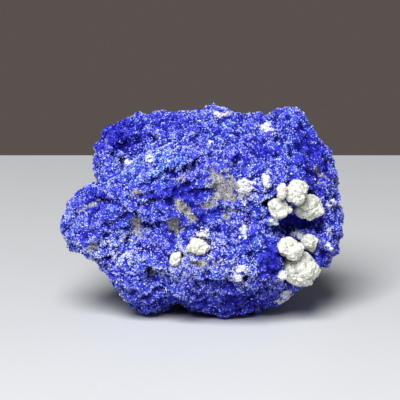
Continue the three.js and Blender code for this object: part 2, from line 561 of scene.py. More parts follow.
@dataclass(frozen=True)
class GrainFinish:
    """Small crystals or grains, each of one tone, which its place on its UV map names."""

    name: str
    tone: GrainTone
    roughness: float
    ior: float
    gloss: float = 0.5

    def material(self) -> bpy.types.Material:
        """Builds the finish.

        Returns:
            The material.
        """
        maker = MaterialMaker(self.name)
        place = maker.node("UVMap", uv_map=BAKE_MAP)
        split = maker.node("SeparateXYZ")
        maker.join(place.outputs["UV"], split.inputs["Vector"])
        plain, tinted = (maker.ramp(split.outputs["X"], stops) for stops in self.tone.value)
        colour = maker.mix(split.outputs["Y"], plain, tinted)
        maker.join(colour, maker.shader.inputs["Base Color"])
        maker.shader.inputs["Roughness"].default_value = self.roughness
        maker.shader.inputs["IOR"].default_value = self.ior
        maker.shader.inputs["Specular IOR Level"].default_value = self.gloss
        return maker.material


@dataclass(frozen=True)
class GroundFinish:
    """The rock under the crystals: dark azurite, with bare sandy matrix and patches of chalky clay.

    Attributes:
        name: The material's name.
        paler: The blues of the paler specks, darkening from a top down into a crevice as painted shade.
        darker: The same painted shade in the darker specks.
        sand: The greys of the bare matrix.
        chalk: The greys of the clay.
        specks: How many specks there are to a metre in the blue, the sand, the clay and the bump.
        bump: How high the bump is, in metres.
        roughness: How matt the rock is.
        gloss: How strongly it reflects.
    """

    name: str = "azurite ground"
    paler: Stops = (
        (0.2, (0.080, 0.090, 0.700)),
        (0.5, (0.022, 0.022, 0.500)),
        (0.8, (0.003, 0.003, 0.140)),
    )
    darker: Stops = (
        (0.2, (0.010, 0.008, 0.360)),
        (0.5, (0.002, 0.002, 0.200)),
        (0.8, (0.001, 0.001, 0.095)),
    )
    sand: Stops = (
        (0.32, (0.040, 0.040, 0.070)),
        (0.48, (0.220, 0.215, 0.210)),
        (0.68, (0.420, 0.410, 0.390)),
    )
    chalk: Stops = (
        (0.34, (0.300, 0.310, 0.330)),
        (0.46, (0.500, 0.520, 0.510)),
        (0.62, (0.640, 0.660, 0.630)),
    )
    specks: tuple[float, float, float, float] = (3000.0, 1900.0, 1300.0, 2600.0)
    bump: float = 0.12 * MM
    roughness: float = 0.75
    gloss: float = 0.15

    def material(self) -> bpy.types.Material:
        """Builds the finish.

        Returns:
            The material.
        """
        maker = MaterialMaker(self.name)
        blue_specks, sand_specks, chalk_specks, bump_specks = self.specks
        # Painted shade: the blues darken with the hollow attribute, from the tops down into the crevices.
        blue = maker.mix(
            maker.noise(blue_specks, detail=4.0, rough=0.75),
            maker.ramp(maker.attribute("hollow"), self.paler),
            maker.ramp(maker.attribute("hollow"), self.darker),
        )
        sand = maker.ramp(maker.noise(sand_specks, detail=4.0), self.sand)
        chalk = maker.ramp(maker.noise(chalk_specks, detail=4.0), self.chalk)
        rock = maker.mix(maker.attribute("bare"), blue, sand)
        colour = maker.mix(maker.attribute("chalk"), rock, chalk)
        maker.join(colour, maker.shader.inputs["Base Color"])
        maker.shader.inputs["Roughness"].default_value = self.roughness
        maker.shader.inputs["Specular IOR Level"].default_value = self.gloss
        maker.bump(maker.noise(bump_specks, detail=4.0), self.bump)
        return maker.material


@dataclass(frozen=True)
class ClayFinish:
    """Chalky off-white clay, greyed by painted shade in its creases, with a little blue dust.

    Attributes:
        name: The material's name.
        chalk: The off-whites of its open faces.
        crease_shade: The greys of the painted shade in its creases.
        dust: Where dust lies, by the noise that scatters it.
        blue: The dust's colour.
        specks: How many specks there are to a metre in the clay, the dust and the bump.
        bump: How high the bump is, in metres.
        roughness: How matt the clay is.
    """

    name: str = "pale clay"
    chalk: Stops = (
        (0.34, (0.300, 0.303, 0.255)),
        (0.46, (0.540, 0.547, 0.475)),
        (0.60, (0.700, 0.712, 0.645)),
    )
    crease_shade: Stops = ((0.3, (0.110, 0.110, 0.100)), (0.7, (0.300, 0.300, 0.250)))
    dust: Stops = ((0.66, (0.0, 0.0, 0.0)), (0.72, (1.0, 1.0, 1.0)))
    blue: Colour = (0.05, 0.06, 0.42)
    specks: tuple[float, float, float] = (1500.0, 2400.0, 2600.0)
    bump: float = 0.20 * MM
    roughness: float = 0.9

    def material(self) -> bpy.types.Material:
        """Builds the finish.

        Returns:
            The material.
        """
        maker = MaterialMaker(self.name)
        clay_specks, dust_specks, bump_specks = self.specks
        chalk = maker.ramp(maker.noise(clay_specks, detail=5.0, rough=0.7), self.chalk)
        crease_shade = maker.ramp(maker.noise(clay_specks), self.crease_shade)
        # Painted shade: the clay turns grey in its creases, mixed in by the crease attribute.
        crease_shaded = maker.mix(maker.attribute("crease"), chalk, crease_shade)
        dust = maker.ramp(maker.noise(dust_specks, detail=2.0), self.dust)
        blue = maker.node("RGB")
        blue.outputs[0].default_value = (*self.blue, 1.0)
        colour = maker.mix(dust, crease_shaded, blue.outputs[0])
        maker.join(colour, maker.shader.inputs["Base Color"])
        maker.shader.inputs["Roughness"].default_value = self.roughness
        maker.bump(maker.noise(bump_specks, detail=5.0, rough=0.7), self.bump)
        return maker.material


@dataclass(frozen=True)
class TablePaint:
    """Pale matt paint, very slightly uneven."""

    name: str = "table paint"
    greys: Stops = ((0.3, (0.550, 0.560, 0.573)), (0.7, (0.577, 0.587, 0.600)))
    specks: float = 8.0
    roughness: float = 0.6

    def material(self) -> bpy.types.Material:
        """Builds the finish.

        Returns:
            The material.
        """
        maker = MaterialMaker(self.name)
        colour = maker.ramp(maker.noise(self.specks), self.greys)
        maker.join(colour, maker.shader.inputs["Base Color"])
        maker.shader.inputs["Roughness"].default_value = self.roughness
        return maker.material


# ---- Relief ----


@dataclass(frozen=True)
class Lumps:
    """One layer of rounded lumps, packed side by side with creases between them.

    Attributes:
        size: How wide a lump is, in metres.
        height: How far its top stands above its edge, in metres.
        crease: How much further the creases cut in, in metres.
        long: How many times longer than wide a lump is.
        lean: How far its long side leans up to the right, in degrees.
        warp: How far the lumps are pulled out of round, as a share of their size.
        cut: How wide a crease is, as a share of the lumps' size.
        seed: Shifts the pattern.
        edge: Where a lump's edge lies, out from its middle, in lumps.
        waves: How many waves of the warp there are to a lump.
    """

    size: float
    height: float
    crease: float
    long: float = 1.0
    lean: float = 0.0
    warp: float = 0.45
    cut: float = 0.10
    seed: float = 0.0
    edge: float = 0.75
    waves: float = 0.8

    def fall(self, points: np.ndarray) -> np.ndarray:
        """Measures the lumps' relief.

        Args:
            points: The points.

        Returns:
            How far the surface falls at each point: 0 on a lump's top, most in a crease.
        """
        offset = Vector((self.seed, -self.seed, 2.0 * self.seed))
        turn = Matrix.Rotation(math.radians(self.lean), 3, "Y")
        shape = Matrix.Diagonal((1.0 / self.long, 1.0, 1.0)) @ turn * (1.0 / self.size)
        falls = np.empty(len(points))
        for index, point in enumerate(points):
            place = shape @ Vector(point) + offset
            place += noise.noise_vector(place * self.waves) * self.warp
            nearest, second = noise.voronoi(place)[0][:2]
            round_top = min(nearest / self.edge, 1.0) ** 2
            falls[index] = self.height * round_top + self.crease * math.exp((nearest - second) / self.cut)
        return falls


def push(obj: bpy.types.Object, distances: np.ndarray) -> None:
    """Moves each vertex of an object along its normal.

    Args:
        obj: The mesh object.
        distances: How far each vertex moves, outwards where it is positive.
    """
    points = read(obj.data.vertices, "co", 3)
    normals = read(obj.data.vertices, "normal", 3)
    points += normals * distances[:, None]
    obj.data.vertices.foreach_set("co", points.astype(np.float32).ravel())
    obj.data.update()


def store(obj: bpy.types.Object, name: str, values: np.ndarray) -> None:
    """Keeps a number at each vertex of an object's mesh, for its material."""
    attribute = obj.data.attributes.new(name, "FLOAT", "POINT")
    attribute.data.foreach_set("value", np.clip(values, 0.0, 1.0).astype(np.float32))


def hollowness(obj: bpy.types.Object, rounds: int, depth: float) -> np.ndarray:
    """How far each vertex lies down between its neighbours.

    Args:
        obj: The mesh object.
        rounds: How often the mesh is smoothed to find the level that depth is measured from.
        depth: The depth that counts as 1.

    Returns:
        A number for each vertex: 1 in a crevice of that depth, 0 on the level, less on a top.
    """
    points = read(obj.data.vertices, "co", 3)
    ends = read(obj.data.edges, "vertices", 2).astype(int)
    starts, stops = np.concatenate([ends, ends[:, ::-1]]).T
    count = np.bincount(starts, minlength=len(points))[:, None]
    level = points
    for _ in range(rounds):
        sums = [np.bincount(starts, weights=level[stops, axis], minlength=len(points)) for axis in range(3)]
        level = 0.5 * level + 0.5 * np.stack(sums, 1) / count
    normals = read(obj.data.vertices, "normal", 3)
    return ((level - points) * normals).sum(1) / depth


def box_map(obj: bpy.types.Object) -> None:
    """Gives an object a UV map that lays its six sides out in a grid of three by two.

    Args:
        obj: The mesh object.
    """
    mesh = obj.data
    points = read(mesh.vertices, "co", 3)
    middle = (points.max(0) + points.min(0)) / 2
    half = (points.max(0) - points.min(0)) / 2
    corners = np.empty(len(mesh.loops), np.int32)
    mesh.loops.foreach_get("vertex_index", corners)
    count = np.empty(len(mesh.polygons), np.int32)
    mesh.polygons.foreach_get("loop_total", count)
    toward = (read(mesh.polygons, "center", 3) - middle) / half
    axis = np.abs(toward).argmax(1)
    side = axis * 2 + (toward[np.arange(len(axis)), axis] > 0)
    axis, side = np.repeat(axis, count), np.repeat(side, count)
    local = (points[corners] - middle) / half
    rows = np.arange(len(local))
    depth = np.maximum(np.abs(local[rows, axis]), 1e-6)
    u = np.arctan(local[rows, (axis + 1) % 3] / depth) / (math.pi / 2)
    v = np.arctan(local[rows, (axis + 2) % 3] / depth) / (math.pi / 2)
    shrink = 0.94
    u = (side % 3 + 0.5 + u * shrink) / 3
    v = (side // 3 + 0.5 + v * shrink) / 2
    layer = mesh.uv_layers.new(name=BAKE_MAP)
    layer.uv.foreach_set("vector", np.stack([u, v], 1).astype(np.float32).ravel())


def nearness(points: np.ndarray, nodes: Sequence[str], touching: float, clear: float) -> np.ndarray:
    """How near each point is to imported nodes: 1 inside or touching one, falling to 0 clear of all.

    Args:
        points: The points.
        nodes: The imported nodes.
        touching: The distance from a node's surface up to which a point counts as touching.
        clear: The distance from which it counts as clear.

    Returns:
        A number from 0 to 1 for each point.
    """
    near = np.zeros(len(points))
    for node in nodes:
        tree = surface_of(node)
        low, high = (np.array(corner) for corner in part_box(node))
        boxed = ((points > low - clear) & (points < high + clear)).all(1)
        for index in np.flatnonzero(boxed):
            place = Vector(points[index])
            surface, normal, _, distance = tree.find_nearest(place)
            if (place - surface).dot(normal) < 0:
                distance = 0.0
            near[index] = max(near[index], 1.0 - (distance - touching) / (clear - touching))
    return np.clip(near, 0.0, 1.0)


# ---- The azurite mass ----


@dataclass
class Skin:
    """Where grains can sit on a surface: its faces.

    Attributes:
        places: The middle of each face.
        normals: Its normal.
        areas: Its area.
        hollow: How far it lies down between its neighbours, from 0 on a top to 1 in a crevice.
        bare: How bare of azurite it is, from 0 to 1.
        chalk: How far it lies in a patch of chalky clay, from 0 to 1.
    """

    places: np.ndarray
    normals: np.ndarray
    areas: np.ndarray
    hollow: np.ndarray
    bare: np.ndarray
    chalk: np.ndarray
    KEPT = (("center", 3), ("normal", 3), ("area", 1))

    @classmethod
    def of(cls, obj: bpy.types.Object) -> Skin:
        """Reads the skin of a mesh.

        Args:
            obj: A dressed object whose faces all have four corners.

        Returns:
            Its skin.
        """
        faces = obj.data.polygons
        corners = read(obj.data.loops, "vertex_index", 1).astype(int).reshape(-1, 4)
        stored = (read(obj.data.attributes[name].data, "value", 1) for name in ("hollow", "bare", "chalk"))
        middles, normals, areas = (read(faces, name, width) for name, width in cls.KEPT)
        return cls(middles, normals, areas[:, 0], *(values[corners, 0].mean(1) for values in stored))

    def only(self, keep: np.ndarray) -> Skin:
        """The part of the skin that a mask or a list of indices keeps."""
        parts = (self.places, self.normals, self.areas, self.hollow, self.bare, self.chalk)
        return Skin(*(part[keep] for part in parts))


@dataclass
class AzuriteMass:
    """The lump of azurite under its crystals.

    Attributes:
        voxel: The size of its mesh's faces.
        lumps: The layers of its relief.
        strength: How strong the lumps are, and the layer by which that differs from place to place.
        crease_depth: How deep the named creases are.
        bare_depth: How far the bare matrix lies under the crystals.
        bare_calm: How much weaker the lumps are on bare matrix.
        pit_depth: How deep the small pits all over it are.
        pits: Their layer, and the heights in it between which a pit sinks.
        chalk_height: How far the patches of chalky clay stand out.
        proud: How far the surface first swells, so that the relief leaves the specimen its size.
        hollows: How its crevices are found: each way's share, its rounds and the depth that counts.
    """

    voxel: float = 0.37 * MM
    lumps: tuple[Lumps, ...] = (
        Lumps(3.4 * MM, height=1.00 * MM, crease=0.90 * MM, long=1.7, lean=24.0, cut=0.14),
        Lumps(1.6 * MM, height=0.75 * MM, crease=0.80 * MM, long=1.3, lean=24.0, cut=0.16, seed=4.0),
        Lumps(0.85 * MM, height=0.24 * MM, crease=0.20 * MM, cut=0.18, seed=5.0),
    )
    strength: tuple[float, Layers] = (0.75, ((0.35, 7.0 * MM, 9.0),))
    crease_depth: float = 2.2 * MM
    bare_depth: float = 1.1 * MM
    bare_calm: float = 0.5
    pit_depth: float = 1.3 * MM
    pits: tuple[Layers, float, float] = (((1.0, 2.6 * MM, 6.0),), 0.3, 0.6)
    chalk_height: float = 0.6 * MM
    proud: float = 0.95 * MM
    hollows: tuple[tuple[float, int, float], ...] = ((0.6, 8, 0.22 * MM), (0.4, 60, 0.8 * MM))
    obj: bpy.types.Object = field(init=False)

    def build(self) -> bpy.types.Object:
        """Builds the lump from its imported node.

        Returns:
            The finished object.
        """
        self.obj = copy_of_node(MASS_NODE, "azurite_body")
        apply_modifier(self.obj, "SUBSURF", levels=1, render_levels=1)
        self.remesh()
        apply_modifier(self.obj, "SMOOTH", iterations=6, factor=0.5)
        self.carve()
        self.remesh()
        self.stand()
        self.dress()
        return self.obj

    def remesh(self) -> None:
        """Makes the mesh one closed skin of even faces."""
        apply_modifier(self.obj, "REMESH", mode="VOXEL", voxel_size=self.voxel)

    def carve(self) -> None:
        """Works the lumps, creases, bare hollows and pits into the surface."""
        points = read(self.obj.data.vertices, "co", 3)
        level, layers = self.strength
        strength = level + blotches(points, layers)
        torn = ragged(points)
        bare = smooth_step(strongest(BARE.zones, torn), *BARE_HOLLOW)
        lumps = sum(lump.fall(points) for lump in self.lumps)
        depth = lumps * strength * (1.0 - self.bare_calm * bare)
        depth += self.crease_depth * strongest(CREASES, torn) + self.bare_depth * bare
        pits, rim, bottom = self.pits
        depth += self.pit_depth * smooth_step(blotches(points, pits), rim, bottom)
        depth -= self.chalk_height * CHALK.cover(points)
        push(self.obj, self.proud - depth)

    def stand(self) -> None:
        """Lifts whatever the relief pushed below the resting plane."""
        points = read(self.obj.data.vertices, "co", 3)
        points[:, 2] = np.maximum(points[:, 2], 0.0)
        self.obj.data.vertices.foreach_set("co", points.astype(np.float32).ravel())
        self.obj.data.update()

    def dress(self) -> None:
        """Gives the lump its finish and what the finish reads."""
        points = read(self.obj.data.vertices, "co", 3)
        hollow = sum(share * hollowness(self.obj, rounds, depth) for share, rounds, depth in self.hollows)
        # The hollow attribute drives painted shade: the ground and the grains darken by it in crevices.
        store(self.obj, "hollow", 0.5 + 0.5 * hollow)
        store(self.obj, "bare", bareness(points))
        store(self.obj, "chalk", CHALK.cover(points))
        box_map(self.obj)
        select_only(self.obj)
        bpy.ops.object.shade_smooth()
        self.obj.data.materials.append(GroundFinish().material())


def bareness(points: np.ndarray) -> np.ndarray:
    """Measures how bare of azurite the rock is: in the named zones, and in thin spots behind.

    Args:
        points: The points.

    Returns:
        A number from 0 to 1 for each point.
    """
    behind = smooth_step(points[:, 1], *BACK)
    thin = blotches(points, THIN_SPOTS) + blotches(points, BARE.tears)
    return np.maximum(BARE.cover(points), behind * smooth_step(thin, *THIN_EDGE))


@dataclass(frozen=True)
class Frost:
    """The clumps of pale grains, which lie closer together in the frost zones.

    Attributes:
        level: How thick the frost is outside all zones.
        gain: How much thicker it is in the frost zones.
        loss: How much thinner it is in the deep zones.
        waves: The layers by which it is thicker and thinner from place to place.
        clumps: The layers that make the clumps.
        weight: How much the clumps grow with the thickness.
        edge: Where a clump starts and where it is whole.
    """

    level: float = 0.55
    gain: float = 0.45
    loss: float = 0.60
    waves: Layers = ((0.15, 5.0 * MM, 7.0),)
    clumps: Layers = ((0.35, 1.3 * MM, 5.0), (0.65, 0.5 * MM, 5.5))
    weight: float = 0.46
    edge: tuple[float, float] = (0.41, 0.55)

    def cover(self, points: np.ndarray) -> np.ndarray:
        """Measures how frosted points are.

        Args:
            points: The points.

        Returns:
            A number from 0 to 1 for each.
        """
        thick = self.level + self.gain * strongest(FROST_ZONES, ragged(points))
        thick -= self.loss * strongest(DARK_AND_SHADED_ZONES, points)
        thick += blotches(points, self.waves)
        return smooth_step(blotches(points, self.clumps) + self.weight * thick, *self.edge)


# ---- Crystals, grains and crumbs ----


@dataclass(frozen=True)
class Shape:
    """One small shape to be copied many times.

    Attributes:
        corners: Its corners, about its middle.
        loops: The corners of its faces, one face after another.
        lengths: How many corners each face has.
    """

    corners: np.ndarray
    loops: np.ndarray
    lengths: np.ndarray

    @classmethod
    def taken_from(cls, obj: bpy.types.Object) -> Shape:
        """Takes the shape of a modelled object, and removes the object.

        Args:
            obj: The object.

        Returns:
            The shape, about its own middle.
        """
        corners = read(obj.data.vertices, "co", 3)
        loops = read(obj.data.loops, "vertex_index", 1)[:, 0].astype(int)
        lengths = read(obj.data.polygons, "loop_total", 1)[:, 0].astype(int)
        bpy.data.objects.remove(obj)
        return cls(corners - corners.mean(0), loops, lengths)


class Habit(Enum):
    """The shapes a crystal can have: sides, width of its top, lean of its top, and height."""

    WEDGE = (3, 0.45, 0.15, 0.9)
    SHARD = (3, 0.00, 0.20, 1.2)
    STUB = (3, 0.00, -0.15, 0.9)

    def shape(self) -> Shape:
        """Models one crystal as a block that tapers and leans to its top.

        Returns:
            Its shape, about a unit wide.
        """
        sides, top, lean, height = self.value
        foot = 0.58
        bpy.ops.object.select_all(action="DESELECT")
        bpy.ops.mesh.primitive_cone_add(vertices=sides, radius1=foot, radius2=foot * top, depth=height)
        crystal = bpy.context.active_object
        for vertex in crystal.data.vertices:
            vertex.select = vertex.co.z > 0
        for face in crystal.data.polygons:
            face.select = face.center.z > height * 0.45
        bpy.ops.object.mode_set(mode="EDIT")
        bpy.ops.transform.translate(value=(lean, lean / 2, 0))
        bpy.ops.object.mode_set(mode="OBJECT")
        return Shape.taken_from(crystal)


@dataclass(frozen=True)
class Crumb:
    """A crumb of clay: a small ball, about a unit wide, worked into lumps."""

    lumps: Lumps
    radius: float = 0.6

    def shape(self) -> Shape:
        """Models one crumb.

        Returns:
            Its shape.
        """
        bpy.ops.object.select_all(action="DESELECT")
        bpy.ops.mesh.primitive_ico_sphere_add(subdivisions=2, radius=self.radius)
        crumb = bpy.context.active_object
        push(crumb, -self.lumps.fall(read(crumb.data.vertices, "co", 3)))
        return Shape.taken_from(crumb)


@dataclass(frozen=True)
class GrainKind:
    """One kind of grain.

    Attributes:
        piece: The name of the piece that its grains are joined into.
        count: How many grains there are.
        widths: The least and the greatest width, in millimetres.
        tone: Their middle tone, from 0, dark, to 1, pale.
        spread: How far single grains stray from it.
        finish: Their finish.
        crevice_shade: How much darker they are in a crevice, as painted shade.
        stray: The chance of a grain away from its own places.
        sunk: How deep a grain's middle lies, as a share of its width.
        stretch: The least and the most that a grain is stretched along each of its sides.
        tilt: How far its long axis strays from the normal.
    """

    piece: str
    count: int
    widths: tuple[float, float]
    tone: float
    spread: float
    finish: GrainFinish
    crevice_shade: float = 0.0
    stray: float = 0.0
    sunk: float = 0.1
    stretch: tuple[float, float] = (0.75, 1.3)
    tilt: float = 0.5

    def tones(self, random: np.random.Generator) -> np.ndarray:
        """A tone for each grain, before its place is known."""
        return random.normal(self.tone, self.spread, self.count)

    def sizes(self, random: np.random.Generator) -> np.ndarray:
        """A width for each grain, in metres."""
        return random.uniform(*self.widths, self.count) * MM


@dataclass
class Grains:
    """Many small copies of a few shapes, joined into one piece.

    Attributes:
        kind: Their kind.
        skin: Where the grains sit.
        sizes: Each grain's width, in metres.
        tones: Each grain's place on its colour run, from 0, dark, to 1, pale.
        tints: Each grain's share of the tinted run.
        name: The piece's name, if it isn't the kind's.
    """

    kind: GrainKind
    skin: Skin
    sizes: np.ndarray
    tones: np.ndarray
    tints: np.ndarray
    name: str = ""

    def build(self, shapes: Sequence[Shape], random: np.random.Generator) -> bpy.types.Object:
        """Joins a copy of a random shape, at a random turn, at each place into one mesh.

        Args:
            shapes: The shapes to copy.
            random: The source of the choices and turns.

        Returns:
            The finished object.
        """
        count = len(self.sizes)
        choices = random.integers(len(shapes), size=count)
        stretches = self.sizes[:, None] * random.uniform(*self.kind.stretch, (count, 3))
        turns = self.turns(random)
        middles = self.skin.places - self.skin.normals * (self.kind.sunk * self.sizes)[:, None]
        corners, loops, lengths, places = [], [], [], []
        start = 0
        for choice, shape in enumerate(shapes):
            mine = np.flatnonzero(choices == choice)
            scaled = shape.corners[None] * stretches[mine][:, None, :]
            turned = np.einsum("nij,nkj->nki", turns[mine], scaled) + middles[mine][:, None, :]
            firsts = start + len(shape.corners) * np.arange(len(mine))
            corners.append(turned.reshape(-1, 3))
            loops.append((shape.loops + firsts[:, None]).ravel())
            lengths.append(np.tile(shape.lengths, len(mine)))
            places.append(self.tone_places(mine, shape))
            start += len(mine) * len(shape.corners)
        name = self.name or self.kind.piece
        mesh = bpy.data.meshes.new(name)
        fill_mesh(mesh, np.concatenate(corners), np.concatenate(loops), np.concatenate(lengths))
        layer = mesh.uv_layers.new(name=BAKE_MAP)
        layer.uv.foreach_set("vector", np.concatenate(places).astype(np.float32).ravel())
        mesh.shade_flat()
        mesh.materials.append(self.kind.finish.material())
        obj = bpy.data.objects.new(name, mesh)
        bpy.context.scene.collection.objects.link(obj)
        return obj

    def turns(self, random: np.random.Generator) -> np.ndarray:
        """Turns each grain to stand roughly along its normal.

        Args:
            random: The source of the turns.

        Returns:
            A rotation matrix for each grain.
        """
        count = len(self.sizes)
        up = self.skin.normals + random.normal(0.0, self.kind.tilt, (count, 3))
        up /= np.linalg.norm(up, axis=1)[:, None]
        side = np.cross(up, random.normal(size=(count, 3)))
        side /= np.linalg.norm(side, axis=1)[:, None]
        return np.stack([side, np.cross(up, side), up], axis=2)

    def tone_places(self, grains: np.ndarray, shape: Shape) -> np.ndarray:
        """Finds places on the UV map, at a grain's tone and tint.

        Args:
            grains: The indices of some grains.
            shape: Their shape.

        Returns:
            The corners of a small square for each of their faces.
        """
        reach = 0.006
        square = np.array([(-1, -1), (1, -1), (1, 1), (-1, 1)]) * reach
        steps = np.concatenate([np.arange(length) % 4 for length in shape.lengths])
        middles = np.stack([self.tones[grains], self.tints[grains]], 1).clip(2 * reach, 1 - 2 * reach)
        return (middles[:, None, :] + square[steps]).reshape(-1, 2)


def fill_mesh(mesh: bpy.types.Mesh, corners: np.ndarray, loops: np.ndarray, lengths: np.ndarray) -> None:
    """Fills an empty mesh with faces.

    Args:
        mesh: The mesh.
        corners: Its vertices.
        loops: The vertices of its faces, one face after another.
        lengths: How many corners each face has.
    """
    mesh.vertices.add(len(corners))
    mesh.vertices.foreach_set("co", corners.astype(np.float32).ravel())
    mesh.loops.add(len(loops))
    mesh.loops.foreach_set("vertex_index", loops.astype(np.int32))
    mesh.polygons.add(len(lengths))
    starts = np.concatenate([[0], np.cumsum(lengths)[:-1]])
    mesh.polygons.foreach_set("loop_start", starts.astype(np.int32))
    mesh.update(calc_edges=True)


@dataclass(frozen=True)
class CrystalShades:
    """How the azurite crystals' tones and tints differ from place to place.

    Attributes:
        light: How much paler they are in the light zones.
        deep: How much darker they are in the dark zones, in part as painted shade.
        frost: How much paler they are among the pale grains.
        blotches: The layers by which neighbouring crystals differ together.
        calm: How much less single crystals stray in the deep zones.
        painted_glints: The share of crystals made paler as painted glints.
        dulled: How much smaller that share is in the deep zones.
        painted_glint_lift: The least and the most by which such a crystal is paler, as a painted highlight.
        crevice_shade: Between which hollownesses the painted shade darkens crystals.
        tint: The share of the tinted run outside all zones.
        light_tint: How much larger it is in the light zones.
        deep_tint: How much smaller it is in the deep zones.
        tint_blotches: The layers by which it differs from place to place.
    """

    light: float = 0.12
    deep: float = 0.32
    frost: float = 0.28
    blotches: Layers = ((0.15, 2.2 * MM, 1.0), (0.22, 0.7 * MM, 1.5))
    calm: float = 0.4
    painted_glints: float = 0.14
    dulled: float = 0.6
    painted_glint_lift: tuple[float, float] = (0.30, 0.60)
    crevice_shade: tuple[float, float] = (0.42, 0.85)
    tint: float = 0.25
    light_tint: float = 0.6
    deep_tint: float = 0.3
    tint_blotches: Layers = ((0.5, 5.0 * MM, 2.0),)


@dataclass
class Crust:
    """The crystals, grains and crumbs that cover the mass.

    Attributes:
        skin: Where they can sit.
        crystal: The azurite crystals.
        pieces: How many pieces the crystals are joined into.
        shades: How their tones differ from place to place.
        pale_grain: The pale grains.
        frost: Where the pale grains lie.
        sand_grain: The grains of sand on the bare matrix.
        crumb: The crumbs of clay.
        crumb_lumps: The lumps that a crumb of each shape has.
        cleared: How much thinner crystals lie on bare matrix and on chalky clay.
        pale_lost: How much thinner pale grains lie on bare matrix.
        pale_on_chalk: How thick they lie on chalky clay.
        pale_gain: How much paler they are in the frost zones and on chalky clay.
        crumb_tints: A crumb's share of the tinted run, on the pink crown and elsewhere.
        scatter: How far a grain strays from the middle of its face, in faces.
        random: The source of every choice.
    """

    skin: Skin
    crystal: GrainKind = GrainKind(
        piece="azurite_crystals",
        count=124000,
        widths=(0.24, 0.50),
        tone=0.46,
        spread=0.44,
        finish=GrainFinish("azurite crystal", GrainTone.AZURITE, roughness=0.30, ior=1.73, gloss=0.10),
        crevice_shade=0.72,
        sunk=0.2,
    )
    pieces: int = 4
    shades: CrystalShades = CrystalShades()
    pale_grain: GrainKind = GrainKind(
        piece="pale_grains",
        count=24000,
        widths=(0.16, 0.32),
        tone=0.22,
        spread=0.16,
        finish=GrainFinish("pale grain", GrainTone.PALE, roughness=0.6, ior=1.55, gloss=0.2),
        crevice_shade=0.25,
        stray=0.004,
        sunk=-0.2,
    )
    frost: Frost = Frost()
    sand_grain: GrainKind = GrainKind(
        piece="matrix_sand",
        count=7000,
        widths=(0.18, 0.38),
        tone=0.60,
        spread=0.24,
        finish=GrainFinish("matrix sand", GrainTone.SANDY, roughness=0.85, ior=1.5),
        crevice_shade=0.5,
        stray=0.002,
    )
    crumb: GrainKind = GrainKind(
        piece="clay_crumbs",
        count=320,
        widths=(0.35, 0.95),
        tone=0.72,
        spread=0.1,
        finish=GrainFinish("clay crumb", GrainTone.PALE, roughness=0.85, ior=1.5),
        stray=0.0015,
    )
    crumb_lumps: tuple[Lumps, ...] = tuple(
        Lumps(0.55, height=0.30, crease=0.15, seed=seed) for seed in (1.0, 2.0, 3.0)
    )
    cleared: tuple[float, float] = (0.93, 0.96)
    pale_lost: float = 0.6
    pale_on_chalk: float = 0.5
    pale_gain: tuple[float, float] = (0.50, 0.62)
    crumb_tints: tuple[float, float] = (0.8, 0.05)
    scatter: float = 0.7
    random: np.random.Generator = field(default_factory=lambda: np.random.default_rng(SEED))

    def sown(self, chance: np.ndarray, kind: GrainKind) -> Skin:
        """Picks places at random on the skin.

        Args:
            chance: How likely a place is on each face, for its area.
            kind: The kind of grain to find places for.

        Returns:
            The faces picked, each with its middle moved to a place near by on it.
        """
        share = chance * self.skin.areas
        picked = self.skin.only(self.random.choice(len(share), size=kind.count, p=share / share.sum()))
        shift = self.random.uniform(-self.scatter, self.scatter, (kind.count, 3))
        shift *= np.sqrt(picked.areas)[:, None]
        shift -= picked.normals * (shift * picked.normals).sum(1)[:, None]
        return replace(picked, places=picked.places + shift)

    def build(self) -> list[bpy.types.Object]:
        """Covers the skin.

        Returns:
            The finished pieces.
        """
        crystal_shapes = [habit.shape() for habit in Habit]
        crumb_shapes = [Crumb(lumps).shape() for lumps in self.crumb_lumps]
        bare, chalk = self.skin.bare, self.skin.chalk
        from_bare, from_chalk = self.cleared
        covered = (1.0 - from_bare * bare) * (1.0 - from_chalk * chalk)
        made = self.crystals(self.sown(covered, self.crystal), crystal_shapes)
        frost = self.frost.cover(self.skin.places) * (1.0 - self.pale_lost * bare)
        frost += self.pale_on_chalk * chalk
        around = strongest(CHALK.zones, self.skin.places) ** 2
        for kind, chance, shade, shapes in (
            (self.pale_grain, frost, self.shade_pale, crystal_shapes),
            (self.sand_grain, bare, self.shade_sand, crystal_shapes),
            (self.crumb, around, self.shade_crumbs, crumb_shapes),
        ):
            skin = self.sown(chance + kind.stray, kind)
            tones, tints = shade(skin)
            grains = Grains(kind, skin, kind.sizes(self.random), tones, tints)
            made.append(grains.build(shapes, self.random))
        return made

    def crystals(self, skin: Skin, shapes: Sequence[Shape]) -> list[bpy.types.Object]:
        """Makes the azurite crystals.

        Args:
            skin: A place for each.
            shapes: The shapes to copy.

        Returns:
            Their pieces, from the left round to the right.
        """
        kind, shades, points = self.crystal, self.shades, skin.places
        light = strongest(LIGHT_ZONES, points)
        deep = strongest(DARK_AND_SHADED_ZONES, points)
        # In part painted shade: crystals darker in the dark zones, as along the base and on the right
        # flank.
        tones = kind.tone + shades.light * light - shades.deep * deep
        # Painted shade: crystals darken down in the crevices.
        tones -= kind.crevice_shade * smooth_step(skin.hollow, *shades.crevice_shade)
        tones += blotches(points, shades.blotches)
        strays = self.random.normal(0.0, kind.spread, kind.count) * (1.0 - shades.calm * deep)
        tones += shades.frost * self.frost.cover(points) + strays
